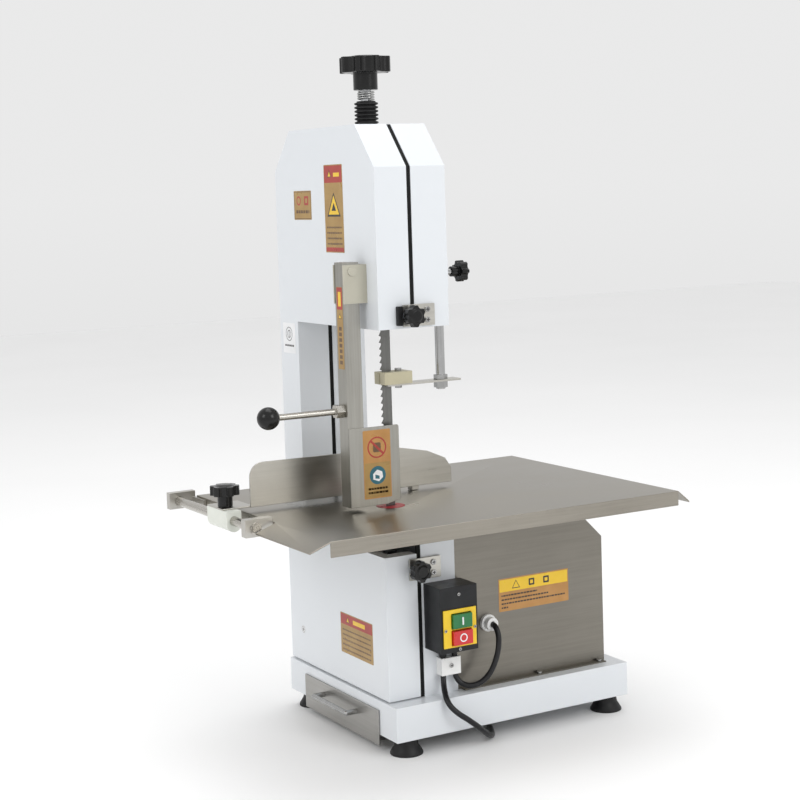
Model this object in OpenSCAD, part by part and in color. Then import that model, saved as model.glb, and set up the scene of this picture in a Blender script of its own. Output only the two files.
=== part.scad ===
// Tabletop butcher's bone saw: a C-shaped sheet-metal frame with a hinged front
// door, two band wheels, a toothed band blade, a stainless table with a sliding
// fence, a swinging pusher, a scrap drawer and a motor under the table.
// Millimetres, +Z up, the operator stands at -Y.

/* [Housing] */
// Width of the wheel housing across the column and the blade
house_w = 275; // [260:1:300]
// Depth of the housing, front face to rear wall
house_d = 101; // [95:1:120]
// Depth of the hinged front door
door_d = 45.5; // [40:0.5:46]
// Width of the column at the back of the throat
column_w = 53; // [50:1:60]
// Height of the upper housing's bottom above the base
throat_top = 468; // [460:1:472]
// Height of the upper housing's top above the base
house_top = 722; // [716:1:740]
// Sheet thickness of the housing
sheet = 2; // [1.5:0.5:2]

/* [Wheels and blade] */
// Radius of the band wheels at the blade
wheel_r = 105; // [104:0.5:106]
// Height of the lower wheel's centre above the base
low_z = 91; // [90:1:92]
// Distance between the two wheel centres
wheel_c = 495; // [494:0.5:496]
// Blade width, tooth tips to back
blade_w = 16; // [13:1:19]
// Blade thickness
blade_t = 0.6; // [0.5:0.1:0.8]
// Distance between blade teeth
tooth_pitch = 8.5; // [6:0.5:13]

/* [Table] */
// Table size along the blade's width
table_x = 385; // [370:1:400]
// Table size from the operator to the back
table_y = 505; // [480:1:520]
// Height of the table top above the base
table_z = 242; // [240:1:246]
// Sheet thickness of the table
table_t = 2; // [1.5:0.5:2.5]

/* [Base] */
// Base width
base_x = 294; // [290:1:310]
// Base length, front to back
base_y = 356; // [350:1:380]
// Base height
base_h = 44; // [40:1:46]
// Height of the rubber feet under the base
foot_h = 21; // [18:1:24]

/* [Pusher] */
// Width of the square pusher arm
arm_w = 22; // [18:1:24]
// Height of the pusher's pivot above the base
pivot_z = 543; // [535:1:550]
// Radius of the pusher's ball handle
ball_r = 14; // [12:0.5:16]

/* [Fence] */
// Height of the fence plate
fence_h = 56; // [40:1:70]
// Length of the fence plate
fence_l = 296; // [240:1:320]
// Radius of the fence's slide rod
rod_r = 6; // [5:0.5:6]

/* [Hidden] */
ox = 88.5;
oy = -108;
oz = base_h + foot_h;
e = 0.01;
up_z = low_z + wheel_c;
wx = -143.5;            // wheel axis
bx = wx + wheel_r;      // cutting run
by0 = 20.5;             // tooth tips
by1 = by0 + blade_w;
hx = -279;              // door hinge axis
hy = 48.5;
gy0 = 46;               // gasket
gy1 = 51.5;
seam = 51.5;
col_x = -house_w + column_w;
cham_x = 46;
cham_z = 54;
low_top = 205;
door_low_top = 184;
low_x = -4;
tx0 = -272;
tx1 = tx0 + table_x;
ty0 = -135;
ty1 = ty0 + table_y;
bx0 = -274;
bx1 = bx0 + base_x;
bby0 = -4;
bby1 = bby0 + base_y;
px = -40;               // pusher arm centre
py = -21;
knob_x = wx;
knob_y = 72;
fx = -112.5;            // fence plate
fz = table_z + 6;
kx = -131;              // fence knob
ky = -156;
ry = -158;              // fence rod
rz = 236;
ly = 41;                // latch stud
lz = [484, 165];
lx = [0, low_x];
gpx = bx;               // guide post
gpy = 109.5;
mc_x1 = -6.5;
mc_x0 = -270;
mc_y1 = 334;
mc_top = 206;
cord_r = 3.6;

module at() { translate([ox, oy, oz]) children(); }
module bxz(x0, x1, y0, y1, z0, z1) { translate([x0, y0, z0]) cube([x1 - x0, y1 - y0, z1 - z0]); }
// extrudes an outline drawn in X and Z along +Y from y0 to y1
module xz(y0, y1) { translate([0, y1, 0]) rotate([90, 0, 0]) linear_extrude(height = y1 - y0) children(); }
// extrudes an outline drawn in Y and Z along +X from x0 to x1
module yz(x0, x1) { translate([x0, 0, 0]) rotate([90, 0, 90]) linear_extrude(height = x1 - x0) children(); }
module cy(r, y0, y1) { translate([0, y0, 0]) rotate([-90, 0, 0]) cylinder(r = r, h = y1 - y0, $fn = 64); }
module cx(r, x0, x1) { translate([x0, 0, 0]) rotate([0, 90, 0]) cylinder(r = r, h = x1 - x0, $fn = 64); }
module cz(r, z0, z1) { translate([0, 0, z0]) cylinder(r = r, h = z1 - z0, $fn = 64); }

// outline of the C-shaped housing inset by t; top is the lower box's top
module outline(t, top, bottom, right) {
    k = t * 0.42;
    polygon([
        [-house_w + t, bottom + t], [right - t, bottom + t], [right - t, top - t], [col_x - t, top - t],
        [col_x - t, throat_top + t], [-t, throat_top + t], [-t, house_top - cham_z - k],
        [-cham_x - k, house_top - t], [-house_w + cham_x + k, house_top - t], [-house_w + t, house_top - cham_z - k]]);
}

// swept round tube through the points p, n sides
function unit(v) = v / norm(v);
function tang(p, i) = i == 0 ? unit(p[1] - p[0]) : i == len(p) - 1 ? unit(p[i] - p[i - 1]) : unit(unit(p[i + 1] - p[i]) + unit(p[i] - p[i - 1]));
function side(t) = unit(cross(t, abs(t[0]) > 0.9 ? [0, 1, 0] : [1, 0, 0]));
function carry(p, i, s) = i == len(p) ? [] : let (t = tang(p, i), u = unit(s - t * (s * t))) concat([u], carry(p, i + 1, u));
module sweep(p, r, n) {
    u = carry(p, 0, side(tang(p, 0)));
    pts = [for (i = [0 : len(p) - 1]) let (t = tang(p, i), v = cross(t, u[i])) for (k = [0 : n - 1]) p[i] + r * (cos(360 * k / n) * u[i] + sin(360 * k / n) * v)];
    polyhedron(pts, concat(
        [[for (k = [n - 1 : -1 : 0]) k]],
        [for (i = [0 : len(p) - 2]) for (k = [0 : n - 1]) [i * n + k, i * n + (k + 1) % n, (i + 1) * n + (k + 1) % n, (i + 1) * n + k]],
        [[for (k = [0 : n - 1]) (len(p) - 1) * n + k]]));
}
// point on a Catmull-Rom curve through q
function cr(a, b, c, d, t) = 0.5 * (2 * b + (c - a) * t + (2 * a - 5 * b + 4 * c - d) * t * t + (3 * b - a - 3 * c + d) * t * t * t);
function smooth(q, m) = concat([for (i = [0 : len(q) - 2]) for (j = [0 : m - 1]) cr(q[max(i - 1, 0)], q[i], q[i + 1], q[min(i + 2, len(q) - 1)], j / m)], [q[len(q) - 1]]);

// ---------------------------------------------------------------- base
module base_tray() {
    color([0.93, 0.95, 0.97]) at() {
        difference() {
            bxz(bx0, bx1, bby0, bby1, -base_h, 0);
            bxz(bx0 + 2, bx1 - 2, bby0 + 2, bby1 - 2, -base_h - 1, -2);
            // wheel well
            bxz(wx - 116, wx + 116, 8, 47, -3, 1);
            // drawer mouth
            bxz(-224, -25, bby0 - 1, bby0 + 3, -base_h - 1, -16);
        }
        // corner plates that carry the feet
        for (x = [bx0 + 1, bx1 - 41]) for (y = [bby0 + 1, bby1 - 45]) difference() {
            bxz(x, x + 40, y, y + 44, -base_h, -base_h + 3);
            translate([x + 21, y + 23, 0]) cz(4, -base_h - 1, -base_h + 4);
        }
    }
}
module feet_at() { for (x = [bx0 + 22, bx1 - 20]) for (y = [bby0 + 24, bby1 - 22]) translate([x, y, 0]) children(); }
module rubber_feet() {
    color([0.06, 0.06, 0.06]) at() feet_at() {
        rotate_extrude($fn = 64) polygon([[0, -base_h - foot_h + 2], [16, -base_h - foot_h], [21, -base_h - foot_h], [21, -base_h - foot_h + 2], [15.5, -base_h - 10], [14, -base_h - 2], [13, -base_h], [0, -base_h]]);
        cz(3.95, -base_h - 1, -base_h + 14);
        translate([0, 0, -base_h + 3]) cylinder(r = 7.5, h = 6, $fn = 6);
    }
}
module drawer_runners() {
    color([0.75, 0.76, 0.78]) at() for (s = [0, 1]) translate([-124.5, 0, 0]) mirror([s, 0, 0]) {
        bxz(100, 101.5, 4, 178, -28, -2);
        bxz(94.5, 100, 4, 178, -28, -26.5);
    }
}
module drawer_tray() {
    color([0.72, 0.72, 0.70]) at() {
        difference() {
            bxz(-216, -33, -4.5, 170, -55, -24);
            bxz(-214.5, -34.5, -3, 168.5, -53.5, -23);
        }
        bxz(-222.5, -216, 2, 170, -26, -24);
        bxz(-33, -26.5, 2, 170, -26, -24);
        bxz(-226, -23, -6.5, -4.5, -57, -12);
    }
}
module drawer_handle() {
    color([0.82, 0.82, 0.82]) at() {
        translate([-170, 0, -27]) cy(3.5, -22, -6.5);
        translate([-80, 0, -27]) cy(3.5, -22, -6.5);
        translate([0, -22, -27]) cx(3.5, -170, -80);
        for (x = [-170, -80]) translate([x, -22, -27]) sphere(r = 3.5, $fn = 48);
    }
}

// ---------------------------------------------------------------- housing
module rear_frame() {
    color([0.95, 0.96, 0.98]) at() {
        difference() {
            xz(seam, house_d) outline(0, low_top, 0, low_x);
            xz(seam - 1, house_d - sheet) outline(sheet, low_top, 0, low_x);
            // tension screw, motor shaft
            translate([knob_x, knob_y, 0]) cz(8, house_top - 5, house_top + 5);
            translate([wx, 0, low_z]) cy(22, house_d - 5, house_d + 5);
            for (i = [0, 1]) for (s = [-6.5, 6.5]) translate([0, 67, lz[i] + s]) cx(1.95, lx[i] - 5, lx[i] + 1);
        }
        // guide post boss on the rear wall
        difference() {
            bxz(gpx - 12, gpx + 12, house_d, 118, 514, 552);
            translate([gpx, gpy, 0]) cz(6.05, 500, 560);
            translate([gpx, 0, 533]) cy(4.05, 110, 120);
        }
    }
}
module seam_gasket() {
    color([0.05, 0.05, 0.05]) at() difference() {
        xz(gy0, gy1) outline(0.8, low_top, 0, low_x);
        xz(gy0 - 1, gy1 + 1) outline(4.5, low_top, 0, low_x);
    }
}
module front_door() {
    color([0.95, 0.96, 0.98]) at() difference() {
        xz(0, door_d) outline(0, door_low_top, 1.5, low_x);
        xz(sheet, door_d + 1) outline(sheet, door_low_top, 1.5, low_x);
        // wheel room in the lower box's bottom and top lips
        bxz(wx - 118, wx + 118, 14, door_d + 1, -1, 4);
        bxz(wx - 76, wx + 120, 14, door_d + 1, door_low_top - 4, door_low_top + 1);
        bxz(-house_w + sheet, col_x - sheet, 14, door_d + 1, door_low_top - 4, door_low_top + 4);
        // blade slot
        bxz(bx - 7, bx + 7, 14, door_d + 1, throat_top - 1, throat_top + 3);
        for (i = [0, 1]) translate([0, ly, lz[i]]) cx(3, lx[i] - 5, lx[i] + 1);
    }
}
module hinge_at() { for (z = [70, 560]) translate([hx, hy, z]) children(); }
module hinge_frame_leaves() {
    color([0.78, 0.79, 0.8]) at() hinge_at() { cz(4, 0, 29.6); cz(2.5, -1.5, 61.5); bxz(2, 4, 3.2, 26, 0, 29.6); bxz(0, 4, 3, 3.9, 0, 29.6); }
}
module hinge_door_leaves() {
    color([0.78, 0.79, 0.8]) at() hinge_at() {
        difference() { union() { cz(4, 30, 60); bxz(2, 4, -26, -0.5, 30, 60); } cz(2.55, 29, 61); }
    }
}
// slotted plates on the frame; the door's studs leave them towards the front
module latch_plates() {
    color([0.85, 0.85, 0.84]) at() for (i = [0, 1]) difference() {
        union() { bxz(lx[i] + 1.4, lx[i] + 4.4, 33, 78, lz[i] - 13.5, lz[i] + 13.5); bxz(lx[i], lx[i] + 1.4, 53, 78, lz[i] - 13.5, lz[i] + 13.5); }
        bxz(lx[i] + 1, lx[i] + 5, 32, ly, lz[i] - 3.6, lz[i] + 3.6);
        translate([0, ly, lz[i]]) cx(3.6, lx[i] + 1, lx[i] + 5);
        for (s = [-6.5, 6.5]) translate([0, 67, lz[i] + s]) cx(2, lx[i] - 1, lx[i] + 5);
    }
}
module latch_studs() {
    color([0.7, 0.71, 0.72]) at() for (i = [0, 1]) translate([0, ly, lz[i]]) {
        cx(3, lx[i] - 9, lx[i] + 17);
        translate([lx[i] - 2, 0, 0]) rotate([0, -90, 0]) cylinder(r = 4.2, h = 5, $fn = 6);
    }
}
// star knob along +Z: neck then a head with n flutes
module star(r, neck, h0, h, n, bore, depth) {
    difference() {
        union() {
            cylinder(r = neck, h = h0 + 0.5, $fn = 64);
            translate([0, 0, h0]) difference() {
                cylinder(r = r, h = h, $fn = 96);
                for (k = [0 : n - 1]) rotate([0, 0, 360 * (k + 0.5) / n]) translate([r * 1.16, 0, -1]) cylinder(r = r * 0.36, h = h + 2, $fn = 48);
            }
            translate([0, 0, h0 + h]) cylinder(r1 = r * 0.66, r2 = r * 0.5, h = 1.5, $fn = 64);
        }
        translate([0, 0, -1]) cylinder(r = bore, h = depth + 1, $fn = 64);
    }
}
module latch_knob_upper() {
    color([0.05, 0.05, 0.05]) at() translate([lx[0] + 5.6, ly, lz[0]]) rotate([0, 90, 0]) star(13.5, 8, 6, 11, 6, 3.06, 14);
}
module latch_knob_lower() {
    color([0.05, 0.05, 0.05]) at() translate([lx[1] + 5.6, ly, lz[1]]) rotate([0, 90, 0]) star(13.5, 8, 6, 11, 6, 3.06, 14);
}

// ---------------------------------------------------------------- wheels and drive
module wheel(z, bore) {
    translate([wx, 0, z]) rotate([-90, 0, 0]) difference() {
        rotate_extrude($fn = 180) polygon([[bore, 16], [26, 16], [26, 26.5], [96, 26.5], [96, 20], [wheel_r - 0.07, 20], [wheel_r - 0.07, 37.2], [wheel_r + 3, 37.2], [wheel_r + 3, 40.5], [96, 40.5], [96, 32.5], [26, 32.5], [26, 47], [bore, 47]]);
        for (k = [0 : 4]) rotate([0, 0, 72 * k + 18]) translate([61, 0, 20]) cylinder(r = 21, h = 20, $fn = 64);
    }
}
module lower_wheel() { color([0.7, 0.71, 0.72]) at() wheel(low_z, 9.5); }
module upper_wheel() { color([0.7, 0.71, 0.72]) at() wheel(up_z, 18); }
module drive_shaft() {
    color([0.6, 0.61, 0.62]) at() {
        translate([wx, 0, low_z]) cy(9.5, 9, 136);
        translate([wx, 16, low_z]) rotate([90, 0, 0]) { cylinder(r = 15, h = 2, $fn = 64); cylinder(r = 12.5, h = 6.5, $fn = 6); }
    }
}
module upper_bearings() {
    color([0.55, 0.56, 0.58]) at() translate([wx, 0, up_z]) for (y = [17, 38]) difference() {
        cy(18, y, y + 8);
        cy(10.06, y - 1, y + 9);
    }
}
module upper_axle() {
    color([0.6, 0.61, 0.62]) at() {
        translate([wx, 0, up_z]) { cy(10, 8, 90); cy(14, 48.5, 56); }
        translate([wx, 15.4, up_z]) rotate([90, 0, 0]) { cylinder(r = 14, h = 1.6, $fn = 64); cylinder(r = 13, h = 6.4, $fn = 6); }
    }
}
module tension_carriage() {
    color([0.45, 0.46, 0.48]) at() difference() {
        union() {
            bxz(wx - 25, wx + 25, 56, 98.4, up_z - 36, up_z + 30);
            bxz(wx - 33, wx + 33, 60, 66, up_z - 36, up_z + 30);
        }
        translate([wx, 0, up_z]) cy(10, 50, 90);
    }
    color([0.45, 0.46, 0.48]) at() translate([knob_x, knob_y, 0]) cz(7, up_z + 20, 807);
}
module carriage_guides() {
    color([0.6, 0.61, 0.62]) at() for (s = [0, 1]) translate([wx, 0, 0]) mirror([s, 0, 0]) difference() {
        bxz(25.6, 42, 54, house_d - sheet, 520, 664);
        bxz(24, 33.6, 59.4, 66.6, 519, 665);
    }
}
module bellows() {
    color([0.04, 0.04, 0.04]) at() translate([knob_x, knob_y, house_top]) rotate_extrude($fn = 64)
        polygon(concat([[9, 0], [16.5, 0], [16.5, 3]], [for (k = [0 : 5]) for (j = [[12.4, 0], [15.6, 1.2], [15.6, 3], [12.4, 4.2]]) [j[0], 4.1 + 4.9 * k + j[1]]], [[12.4, 34], [9, 34]]));
}
module tension_spring() {
    color([0.7, 0.71, 0.72]) at() translate([knob_x, knob_y, house_top + 34]) rotate_extrude($fn = 64) union() {
        translate([8.8, 0.1]) square([0.7, 13.8]);
        for (k = [0 : 4]) translate([9.6, 1.5 + 2.75 * k]) circle(r = 1.3, $fn = 32);
    }
}
module tension_knob() {
    color([0.05, 0.05, 0.05]) at() translate([knob_x, knob_y, 770.4]) star(34, 16, 22.6, 20.5, 8, 7.08, 38);
}
module wheel_scraper() {
    color([0.9, 0.88, 0.8]) at() { bxz(-273, -252.6, 52.5, 58, 86, 96); bxz(-262, -252.6, 22, 52.6, 86, 96); }
}
// one tooth row along the straight cutting and return runs
module teeth(x) {
    n = floor(wheel_c / tooth_pitch);
    yz(x, x + blade_t) polygon(concat([[by0 + 3.2, low_z]], [for (k = [0 : n - 1]) for (j = [0, 1, 2])
        [j == 1 ? by0 : by0 + 3, low_z + tooth_pitch * k + [0.2, 1.4, 6.5][j]]], [[by0 + 3.2, up_z]]));
}
module saw_blade() {
    color([0.66, 0.67, 0.68]) at() {
        xz(by0 + 3.1, by1) {
            translate([wx - wheel_r - blade_t, low_z]) square([blade_t, wheel_c]);
            translate([bx, low_z]) square([blade_t, wheel_c]);
        }
        translate([wx, by1, 0]) rotate([90, 0, 0]) {
            translate([0, up_z, 0]) rotate_extrude(angle = 180, $fn = 180) translate([wheel_r, 0]) square([blade_t, blade_w - 3.1]);
            translate([0, low_z, 0]) rotate([0, 0, 180]) rotate_extrude(angle = 180, $fn = 180) translate([wheel_r, 0]) square([blade_t, blade_w - 3.1]);
        }
        teeth(bx);
        teeth(wx - wheel_r - blade_t);
    }
}
module motor() {
    color([0.35, 0.38, 0.42]) at() difference() {
        translate([wx, 0, low_z]) {
            cy(21.9, house_d - 1.8, house_d);
            cy(76, house_d, house_d + 8);
            cy(60, house_d + 8, 290);
            cy(64, 288, 318);
            for (k = [0 : 17]) rotate([0, 20 * k, 0]) bxz(-1.2, 1.2, 120, 280, 58, 66);
            bxz(-42, 42, 140, 215, 56, 82);
        }
        translate([wx, 0, low_z]) cy(9.58, 90, 137);
    }
    // mounting nuts
    color([0.35, 0.38, 0.42]) at() translate([wx, house_d + 7.9, low_z]) for (k = [0 : 3]) rotate([0, 45 + 90 * k, 0]) translate([68, 0, 0]) rotate([-90, 0, 0]) cylinder(r = 7, h = 5.1, $fn = 6);
}
module motor_cover() {
    color([0.55, 0.54, 0.5]) at() {
        difference() {
            yz(mc_x0, mc_x1) polygon([[house_d + 0.2, 0], [mc_y1, 0], [mc_y1, 169], [mc_y1 - 37, mc_top], [house_d + 0.2, mc_top]]);
            yz(mc_x0 + 1.5, mc_x1 - 1.5) polygon([[house_d - 1, -1], [mc_y1 - 1.5, -1], [mc_y1 - 1.5, 168.4], [mc_y1 - 37.6, mc_top - 1.5], [house_d - 1, mc_top - 1.5]]);
            for (k = [0 : 6]) bxz(wx - 50, wx + 50, mc_y1 - 5, mc_y1 + 5, 50 + 12 * k, 55 + 12 * k);
            translate([0, 149, 80]) cx(6, mc_x1 - 5, mc_x1 + 5);
        }
        // foot flanges
        for (a = [[mc_x1, mc_x1 + 10], [mc_x0 - 3.5, mc_x0]]) difference() {
            bxz(a[0], a[1], house_d + 6, mc_y1 - 4, 0, 1.5);
            for (y = [120, 225, 322]) translate([(a[0] + a[1]) / 2, y, 0]) cz(1.5, -1, 3);
        }
    }
}
// ---------------------------------------------------------------- blade guide
module guide_post() { color([0.85, 0.86, 0.87]) at() translate([gpx, gpy, 0]) cz(6, 384, 604); }
module guide_arm() {
    color([0.7, 0.7, 0.68]) at() difference() {
        bxz(gpx - 10, gpx + 10, 27, 134, 394, 396.5);
        bxz(bx - 1.6, bx + blade_t + 1.6, 26, 39, 393, 398);
        translate([gpx, gpy, 0]) cz(6, 390, 400);
        translate([gpx, 47, 0]) cz(2.5, 390, 400);
    }
}
module guide_fasteners() {
    color([0.72, 0.72, 0.72]) at() {
        translate([gpx, gpy, 0]) for (z = [386, 396.5]) difference() {
            translate([0, 0, z]) cylinder(r = 9, h = z < 390 ? 8 : 6, $fn = 6);
            cz(6, z - 1, z + 9);
        }
        translate([gpx, 47, 0]) { cz(2.45, 392, 412); cz(4.5, 412, 415.5); translate([0, 0, 390.4]) cylinder(r = 4.6, h = 3.6, $fn = 6); }
    }
}
module guide_block() {
    color([0.9, 0.87, 0.72]) at() difference() {
        bxz(bx - 13, bx + 13.6, 20, 60, 396.5, 412);
        bxz(bx - 0.6, bx + blade_t + 0.6, 19, 37.3, 396, 413);
        translate([gpx, 47, 0]) cz(2.5, 390, 420);
    }
}
module guide_lock_knob() {
    color([0.05, 0.05, 0.05]) at() translate([gpx, 129, 533]) rotate([-90, 0, 0]) star(13.7, 6.6, 10, 10.5, 7, 4, 15);
}
module guide_lock_stud() { color([0.8, 0.8, 0.8]) at() translate([gpx, 0, 533]) cy(4, 115.9, 144); }
module lower_guide() {
    color([0.9, 0.87, 0.72]) at() difference() {
        union() { bxz(bx - 12, bx + 12.6, 22, 80, low_top, low_top + 3); bxz(bx - 13, bx + 13.6, 20, 56, low_top + 3, low_top + 18); }
        bxz(bx - 1.6, bx + blade_t + 1.6, 21, 39, low_top - 1, low_top + 3);
        bxz(bx - 0.6, bx + blade_t + 0.6, 19, 37.3, low_top - 1, low_top + 19);
    }
}

// ---------------------------------------------------------------- table
module table_top() {
    zb = table_z - table_t;
    color([0.72, 0.70, 0.66]) at() {
        difference() {
            bxz(tx0, tx1, ty0, ty1, zb, table_z);
            bxz(tx0 - 1, -217, -31, 106, zb - 1, table_z + 1);
            bxz(-218, bx, 20, 40, zb - 1, table_z + 1);
            translate([bx, 30, 0]) cz(18.2, zb - 1, table_z + 1);
        }
        bxz(tx1 - 2, tx1, ty0, ty1, 223, zb);
        bxz(tx0, tx0 + 2, ty0, -31, 223, zb);
        bxz(tx0, tx0 + 2, 106, ty1, 223, zb);
        bxz(tx0, -38, ty0, ty0 + 2, 223, zb);
        yz(-31, tx1) polygon([[ty0, zb], [ty0, table_z], [ty0 - 27, table_z - 10], [ty0 - 27, table_z - 12]]);
        yz(tx0, tx1) polygon([[ty1, zb], [ty1, table_z], [ty1 + 18, table_z - 15], [ty1 + 18, table_z - 17.2]]);
    }
}
module table_insert() {
    color([0.75, 0.08, 0.1]) at() difference() {
        translate([bx, 30, 0]) { cz(18, 240, table_z + 0.4); cz(20, 238, 240); }
        bxz(bx - 1.2, bx + blade_t + 1.2, 5, 38.5, 236, 245);
    }
}
module table_slot_cover() {
    color([0.72, 0.70, 0.66]) at() { bxz(-216.6, -57.4, 20.3, 39.7, 240, table_z); bxz(-214, -60, 14, 46, 237.5, 240); }
}
module table_supports() {
    color([0.7, 0.7, 0.68]) at() {
        difference() { bxz(-214, -12, 83, 99, low_top, 240); bxz(-215, -11, 85, 97, low_top + 2, 238); }
        difference() { bxz(-214, -20, 336, 351, 210, 240); bxz(-215, -19, 338, 349, 212, 238); }
        for (x = [-190, -110]) bxz(x, x + 30, 337, 350, 0, 210);
    }
}

// ---------------------------------------------------------------- fence
module fence_rod() {
    color([0.75, 0.74, 0.7]) at() translate([0, ry, rz]) {
        cx(rod_r, -286, -38);
        translate([-38, 0, 0]) rotate([0, 90, 0]) { cylinder(r = 7.5, h = 1.2, $fn = 64); cylinder(r = 6.2, h = 4.5, $fn = 6); }
        translate([-286, 0, 0]) rotate([0, -90, 0]) cylinder(r = 6.2, h = 4, $fn = 6);
    }
}
module fence_rod_brackets() {
    color([0.72, 0.72, 0.7]) at() difference() {
        union() {
            bxz(-286, -276, -172, -135, 226, 248);
            bxz(-276, -240, -139, -135, 226, 240);
            bxz(-50, -38, -172, -135, 226, 248);
        }
        translate([0, ry, rz]) cx(rod_r, -290, -30);
    }
}
module fence_block() {
    color([0.93, 0.93, 0.9]) at() difference() {
        yz(-161, -101) union() { translate([-168, 232]) square([20, 16]); translate([-158, 232]) circle(r = 10, $fn = 64); }
        translate([0, ry, rz]) cx(rod_r + 0.06, -162, -100);
        translate([kx, ky, 0]) cz(4.06, rz, fz + 1);
    }
}
module fence_plate() {
    color([0.72, 0.70, 0.66]) at() {
        yz(fx - 1, fx + 1) difference() {
            polygon([[-130, fz], [166, fz], [166, 268], [157, 281], [130, 293], [85, fz + fence_h - 2], [-110, fz + fence_h], [-130, fz + fence_h]]);
            difference() { translate([-131, fz + fence_h - 18]) square([19, 19]); translate([-112, fz + fence_h - 18]) circle(r = 18, $fn = 64); }
        }
        difference() {
            bxz(-160, fx - 1, -168, -126, fz, fz + 2);
            translate([kx, ky, 0]) cz(4.06, fz - 1, fz + 3);
        }
        bxz(fx - 13, fx - 1, -126, 160, fz, fz + 2);
        bxz(fx - 13, fx - 1, 106, 116, table_z + 0.4, fz);
    }
}
module fence_knob() {
    color([0.05, 0.05, 0.05]) at() { translate([kx, ky, fz + 2.5]) star(18.5, 9.5, 14, 12, 6, 3.9, 17); translate([kx, ky, 0]) cz(4, rz + rod_r + 0.4, fz + 22); }
}

// ---------------------------------------------------------------- pusher
module pusher_bracket() {
    color([0.85, 0.83, 0.74]) at() {
        bxz(px - 13.5, px + 13.5, -2, 0, 501, 549);
        bxz(px + 11.5, px + 13.5, -33, -2, 501, 549);
        bxz(px - 13.5, px - 11.5, -33, -2, 501, 549);
        // hinge pin with its heads
        translate([0, py, pivot_z - 2]) { cx(4, px - 15.5, px + 15.5); cx(5.5, px + 13.5, px + 15.5); cx(5.5, px - 15.5, px - 13.5); }
    }
}
module pusher_arm() {
    color([0.72, 0.71, 0.68]) at() difference() {
        bxz(px - 11, px + 11, py - 11, py + 11, 247, 552);
        bxz(px - 9.4, px + 9.4, py - 9.4, py + 9.4, 246, 550.4);
        translate([0, py, pivot_z - 2]) cx(4.06, px - 20, px + 20);
        translate([px, 0, 368]) cy(4, py - 12, py - 9);
    }
}
module pusher_plate() {
    color([0.74, 0.72, 0.68]) at() yz(px + 11, px + 13) difference() {
        polygon([[py - 11, 247], [20, 247], [39, 251.5], [39, 346], [py - 11, 346]]);
        difference() { translate([py + 57, 343]) square([4, 4]); translate([py + 57, 343]) circle(r = 3, $fn = 48); }
    }
}
module pusher_handle() {
    color([0.78, 0.76, 0.72]) at() translate([px, 0, 368]) { cy(4, -129, py - 9.4); translate([0, py - 11, 0]) rotate([90, 0, 0]) cylinder(r = 9, h = 12, $fn = 6); }
}
module pusher_ball() {
    color([0.04, 0.04, 0.04]) at() translate([px, -135, 368]) difference() { sphere(r = ball_r, $fn = 96); cy(4, 6, 15); }
}

// ---------------------------------------------------------------- switch box and leads
module switch_box() {
    color([0.16, 0.17, 0.18]) at() {
        difference() {
            bxz(low_x, 36, 54, 108, 62, 145);
            bxz(low_x - 1, mc_x1 + 3, house_d - 0.1, 109, 61, 146);
            for (z = [102, 81]) bxz(24, 40, 83 - 14.6, 83 + 14.6, z - 9.6, z + 9.6);
        }
        // cord grommets
        for (y = [75, 92.5]) translate([3, y, 0]) difference() { cz(6, 56, 62.5); cz(cord_r + 0.05, 55, 62); }
    }
}
module switch_plate() {
    color([0.93, 0.75, 0.1]) at() difference() {
        bxz(36, 38, 57, 105, 69, 117);
        for (z = [102, 81]) bxz(35, 39, 83 - 14.6, 83 + 14.6, z - 9.6, z + 9.6);
    }
}
module start_button() { color([0.05, 0.5, 0.2]) at() bxz(29.5, 42, 83 - 14, 83 + 14, 93, 111); }
module stop_button() { color([0.8, 0.1, 0.08]) at() bxz(29.5, 42.6, 83 - 14, 83 + 14, 72, 90); }
module cable_gland() {
    color([0.9, 0.9, 0.88]) at() translate([0, 149, 80]) difference() {
        union() { cx(5.9, mc_x1 - 1.5, mc_x1); cx(11, mc_x1, mc_x1 + 5); cx(8.5, mc_x1 + 5, mc_x1 + 14); }
        cx(cord_r + 0.05, mc_x1 - 4, mc_x1 + 15);
    }
}
module cable_clip() {
    color([0.94, 0.94, 0.94]) at() difference() {
        bxz(low_x, 9, 70, 98, 26, 48);
        for (y = [75, 92.5]) translate([3, y, 0]) cz(cord_r + 0.05, 20, 50);
    }
}
// pan-head screws of the latches, the motor cover, the switch and the cable clip
module small_screws() {
    color([0.8, 0.8, 0.8]) at() {
        for (i = [0, 1]) for (s = [-6.5, 6.5]) translate([0, 67, lz[i] + s]) { cx(1.9, lx[i] - 8, lx[i] + 4.5); cx(3.6, lx[i] + 4.4, lx[i] + 6.4); }
        for (y = [120, 225, 322]) translate([mc_x1 + 5, y, 0]) { cz(1.45, 0, 1.6); cz(3.6, 1.5, 4); }
        for (y = [59.5, 102.5]) translate([0, y, 91.5]) cx(2, 38, 39.4);
        for (z = [65.5, 135]) translate([0, 81, z]) cx(2.2, 36, 37.2);
        translate([0, 84, 38]) cx(3, 9, 10.6);
    }
}
module motor_lead() {
    color([0.05, 0.05, 0.05]) at() sweep(smooth([[mc_x1 - 6, 149, 80], [5, 149, 80], [14, 149, 77.5], [20, 149, 66], [21, 146, 46], [20, 136, 24], [18, 122, 12], [14, 108, 9], [8, 98, 13], [4, 93.5, 21], [3, 92.5, 30], [3, 92.5, 46], [3, 92.5, 61.9]], 5), cord_r, 12);
}

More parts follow.
